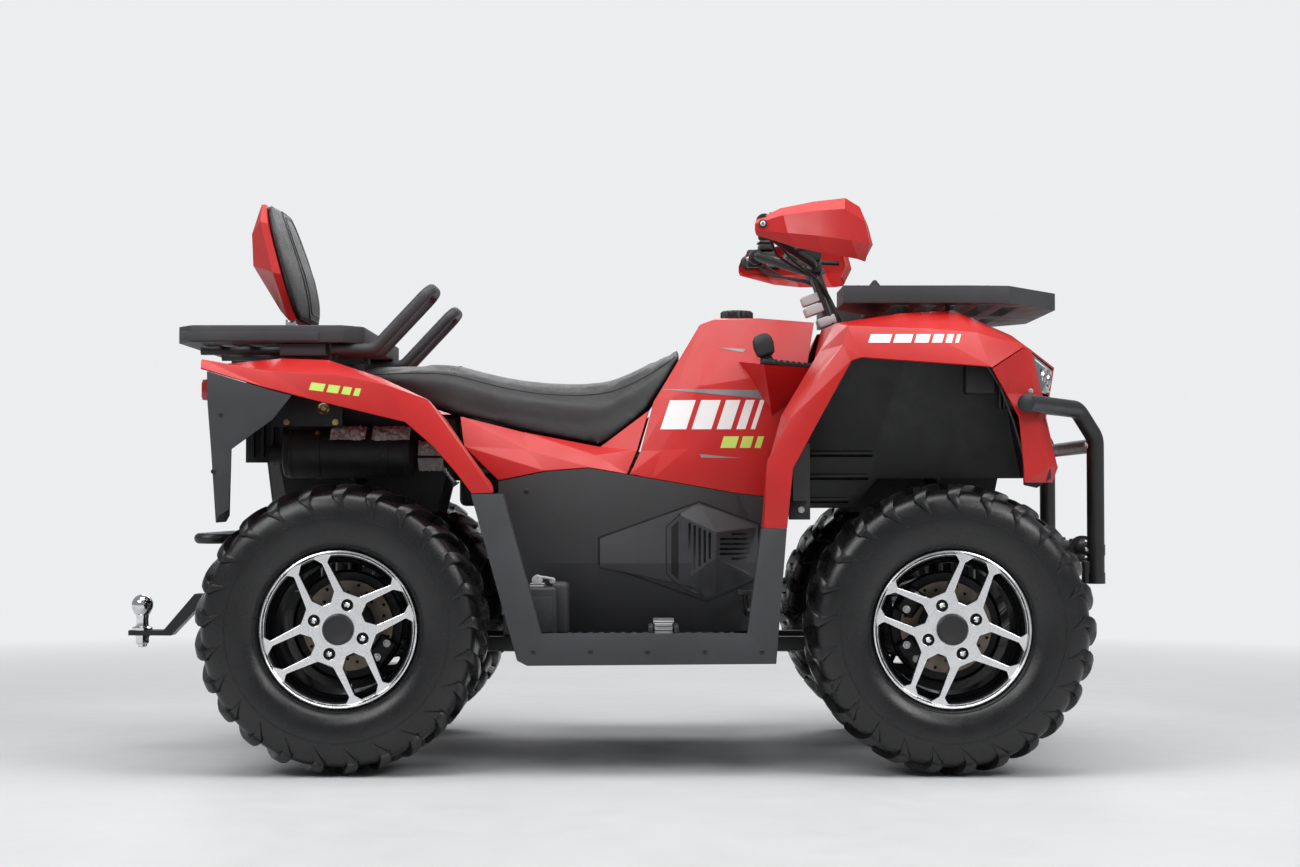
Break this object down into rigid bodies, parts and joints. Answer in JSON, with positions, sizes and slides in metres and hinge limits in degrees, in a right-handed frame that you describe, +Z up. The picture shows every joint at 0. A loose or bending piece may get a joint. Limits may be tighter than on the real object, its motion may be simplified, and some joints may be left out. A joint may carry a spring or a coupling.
{
  "type": "utility quad bike",
  "caption": "Two-seat utility quad bike with front and rear racks, backrest, bullbar, tow ball, steered front wheels and four chunky-treaded tyres.",
  "frame": {"origin": "on the ground, at the middle of the length and the width", "axes": "+X forward, +Y to the rider's left, +Z up"},
  "size_m": [2.2098, 1.07, 1.248],
  "materials": {
    "red_plastic": "satin moulded plastic",
    "dark_plastic": "grained matt plastic",
    "seat_vinyl": "grained vinyl",
    "frame_black": "satin powder coat",
    "spring_black": "gloss black paint",
    "engine_grey": "cast",
    "shaft_steel": "plated",
    "alloy_dull": "dull",
    "wheel_alloy": "machined",
    "tyre_rubber": "moulded rubber",
    "grip_rubber": "matt",
    "chrome_tube": "plated",
    "lamp_red": "lens",
    "lamp_clear": "lens"
  },
  "bodies": {
    "chassis": {"backrest_pad": "seat_vinyl", "backrest_posts": "chrome_tube", "backrest_shell": "red_plastic", "bullbar": "frame_black", "cross_members": "frame_black", "engine": "engine_grey", "foot_pegs": "shaft_steel", "footboards": "dark_plastic", "footwell_skirts": "dark_plastic", "front_fascia": "red_plastic", "front_fender": "red_plastic", "front_fender_legs": "red_plastic", "front_liners": "dark_plastic", "front_rack": "dark_plastic", "front_wishbones": "frame_black", "fuel_cap": "dark_plastic", "gear_selector": "dark_plastic", "gearcases": "engine_grey", "grab_handles": "frame_black", "half_shafts": "shaft_steel", "headlamps": "lamp_clear", "hitch_receiver": "frame_black", "lower_rails": "frame_black", "rear_bumper": "frame_black", "rear_fenders": "red_plastic", "rear_knuckles": "engine_grey", "rear_rack": "dark_plastic", "rear_wishbones": "frame_black", "seat": "seat_vinyl", "seat_side_covers": "red_plastic", "shock_absorbers": "spring_black", "side_grilles": "dark_plastic", "side_panels": "dark_plastic", "silencer": "spring_black", "skid_plate": "alloy_dull", "tail_lamps": "lamp_red", "tail_panels": "dark_plastic", "tank_cover": "red_plastic", "tow_hitch": "chrome_tube", "upper_frame": "frame_black"},
    "steering": {"steering_column": "frame_black", "handlebar": "frame_black", "grips": "grip_rubber", "hand_guards": "red_plastic", "control_levers": "spring_black", "instrument": "dark_plastic"},
    "steer_knuckle_left": {"knuckle_left": "engine_grey"},
    "steer_knuckle_right": {"knuckle_right": "engine_grey"},
    "tie_rod_left": {"tie_rod_left": "shaft_steel"},
    "tie_rod_right": {"tie_rod_right": "shaft_steel"},
    "wheel_front_left": {"tyre_front_left": "tyre_rubber", "wheel_front_left": "wheel_alloy"},
    "wheel_front_right": {"tyre_front_right": "tyre_rubber", "wheel_front_right": "wheel_alloy"},
    "wheel_rear_left": {"tyre_rear_left": "tyre_rubber", "wheel_rear_left": "wheel_alloy"},
    "wheel_rear_right": {"tyre_rear_right": "tyre_rubber", "wheel_rear_right": "wheel_alloy"}
  },
  "joints": [
    {"name": "steer", "type": "hinge", "parent": "chassis", "child": "steering", "pos_m": [0.496, 0, 1.096], "axis": [-0.342, 0, 0.9397], "range_deg": [-32, 32]},
    {"name": "knuckle_left_turn", "type": "hinge", "parent": "chassis", "child": "steer_knuckle_left", "pos_m": [0.74, 0.375, 0.308], "axis": [0, 0, 1], "range_deg": [-32, 32]},
    {"name": "tie_rod_left_turn", "type": "hinge", "parent": "steer_knuckle_left", "child": "tie_rod_left", "pos_m": [0.66, 0.375, 0.345], "axis": [0, 0, 1], "range_deg": [-32, 32]},
    {"name": "wheel_front_left_spin", "type": "hinge", "parent": "steer_knuckle_left", "child": "wheel_front_left", "pos_m": [0.74, 0.432, 0.308], "axis": [0, 1, 0], "continuous": true},
    {"name": "wheel_rear_left_spin", "type": "hinge", "parent": "chassis", "child": "wheel_rear_left", "pos_m": [-0.55, 0.408, 0.308], "axis": [0, 1, 0], "continuous": true},
    {"name": "knuckle_right_turn", "type": "hinge", "parent": "chassis", "child": "steer_knuckle_right", "pos_m": [0.74, -0.375, 0.308], "axis": [0, 0, 1], "range_deg": [-32, 32]},
    {"name": "tie_rod_right_turn", "type": "hinge", "parent": "steer_knuckle_right", "child": "tie_rod_right", "pos_m": [0.66, -0.375, 0.345], "axis": [0, 0, 1], "range_deg": [-32, 32]},
    {"name": "wheel_front_right_spin", "type": "hinge", "parent": "steer_knuckle_right", "child": "wheel_front_right", "pos_m": [0.74, -0.432, 0.308], "axis": [0, 1, 0], "continuous": true},
    {"name": "wheel_rear_right_spin", "type": "hinge", "parent": "chassis", "child": "wheel_rear_right", "pos_m": [-0.55, -0.408, 0.308], "axis": [0, 1, 0], "continuous": true}
  ],
  "couplings": [
    {"joint": "knuckle_left_turn", "follows": "steer", "ratio": 1},
    {"joint": "tie_rod_left_turn", "follows": "steer", "ratio": -1},
    {"joint": "knuckle_right_turn", "follows": "steer", "ratio": 1},
    {"joint": "tie_rod_right_turn", "follows": "steer", "ratio": -1}
  ]
}
